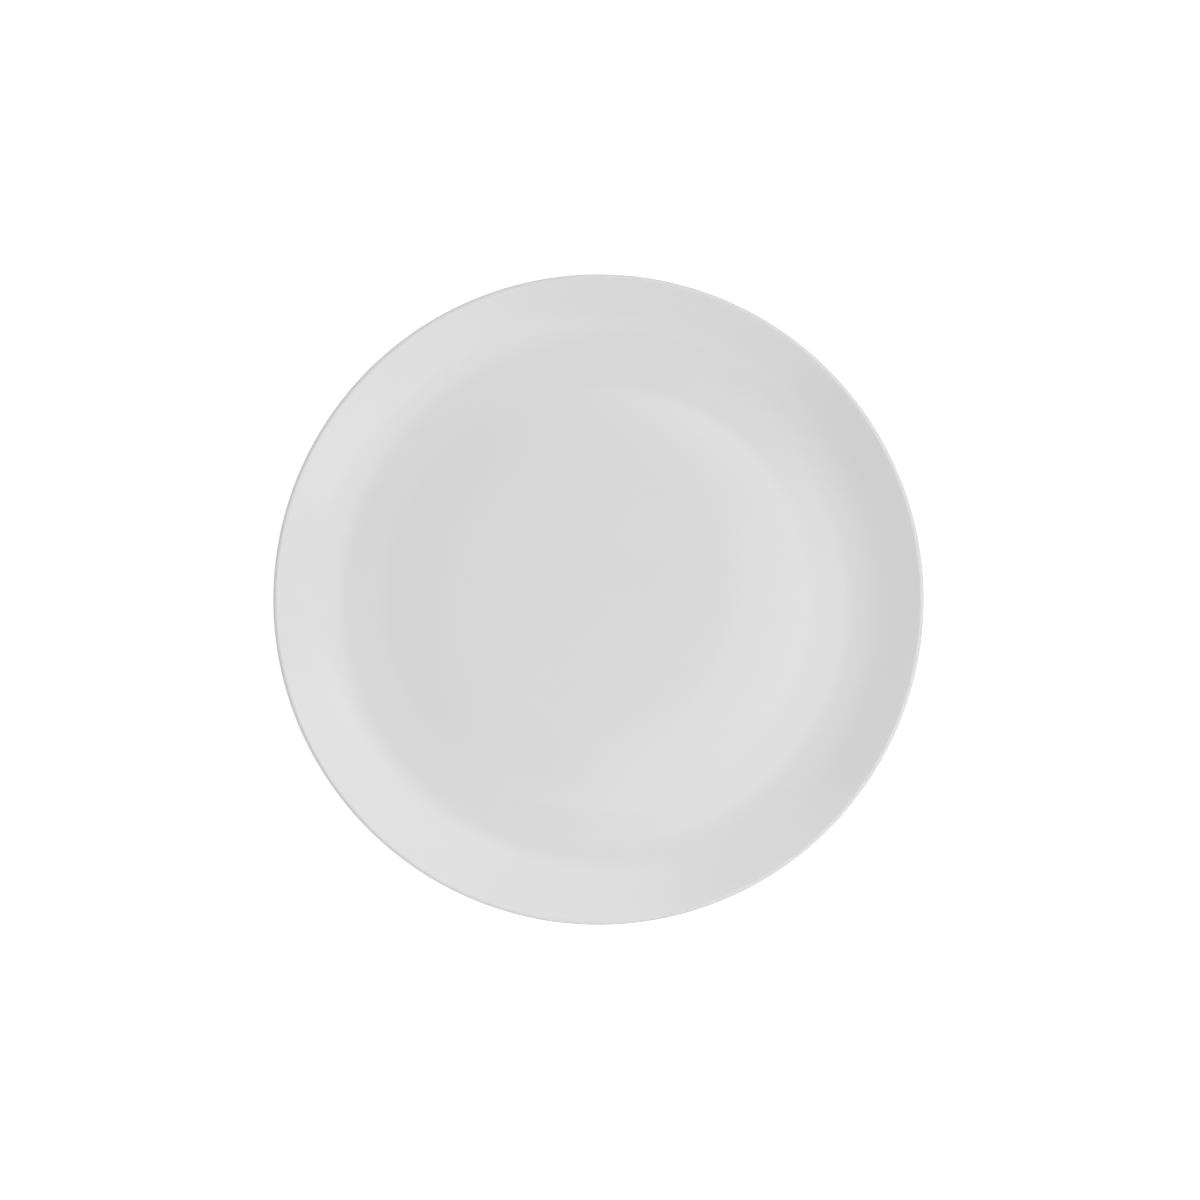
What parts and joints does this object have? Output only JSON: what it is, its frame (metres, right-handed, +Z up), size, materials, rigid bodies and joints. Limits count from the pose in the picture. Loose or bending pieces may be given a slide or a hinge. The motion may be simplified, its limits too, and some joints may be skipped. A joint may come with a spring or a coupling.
{
  "type": "coupe dessert plate",
  "caption": "Round rimless coupe dessert plate with a low domed centre, an upswept wall, a rounded lip and a turned foot ring, glazed except on its standing face.",
  "frame": {"origin": "centre of the circle that the foot ring stands on", "axes": "+Z up out of the eating face, along the plate's axis of turning; X and Y are alike"},
  "size_m": [0.21, 0.21, 0.0159],
  "materials": {
    "biscuit": "matte",
    "glaze": "gloss"
  },
  "bodies": {
    "root": {"porcelain_body": "biscuit", "face_glaze": "glaze", "recess_glaze": "glaze"}
  },
  "joints": []
}
